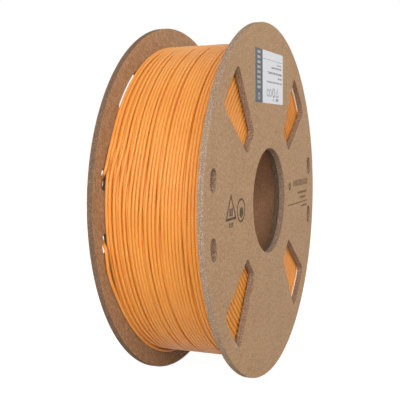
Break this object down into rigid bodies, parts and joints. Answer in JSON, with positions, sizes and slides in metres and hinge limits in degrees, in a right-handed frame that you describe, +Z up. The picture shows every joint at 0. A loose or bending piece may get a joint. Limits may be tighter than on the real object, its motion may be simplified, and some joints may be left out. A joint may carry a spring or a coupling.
{
  "type": "filament spool",
  "caption": "Cardboard spool with windowed round flanges on a core tube, wound full with plastic filament whose end is tucked through rim holes; it turns on a spindle in its bore.",
  "frame": {"origin": "centre of the spindle bore, half way between the outer faces of the flanges", "axes": "+Y along the bore, from the labelled front flange to the rear flange; +Z up, with the spool standing on the rims of its flanges; +X to the right seen from the front"},
  "size_m": [0.2, 0.0635, 0.2],
  "materials": {
    "kraft_liner": "matte kraft paper liner",
    "greyboard": "matte die-cut greyboard edge",
    "ring_board": "matte recycled board",
    "tube_kraft": "matte spiral-wound kraft",
    "label_paper": "semi-matte coated paper",
    "filament": "satin orange extruded PLA",
    "glue": "dried white glue"
  },
  "bodies": {
    "root": {"front_outer_liner": "kraft_liner", "front_inner_liner": "kraft_liner", "rear_outer_liner": "kraft_liner", "rear_inner_liner": "kraft_liner", "front_outer_board": "greyboard", "front_inner_board": "greyboard", "rear_outer_board": "greyboard", "rear_inner_board": "greyboard", "front_hub_ring": "ring_board", "rear_hub_ring": "ring_board", "core_tube_lining": "tube_kraft", "core_tube_body": "ring_board", "core_tube_wrap": "tube_kraft", "front_glue_bead": "glue", "rear_glue_bead": "glue", "front_label": "label_paper", "filament_inner_winding": "filament", "filament_outer_layer": "filament", "filament_tail": "filament", "filament_start_hook": "filament"}
  },
  "joints": []
}
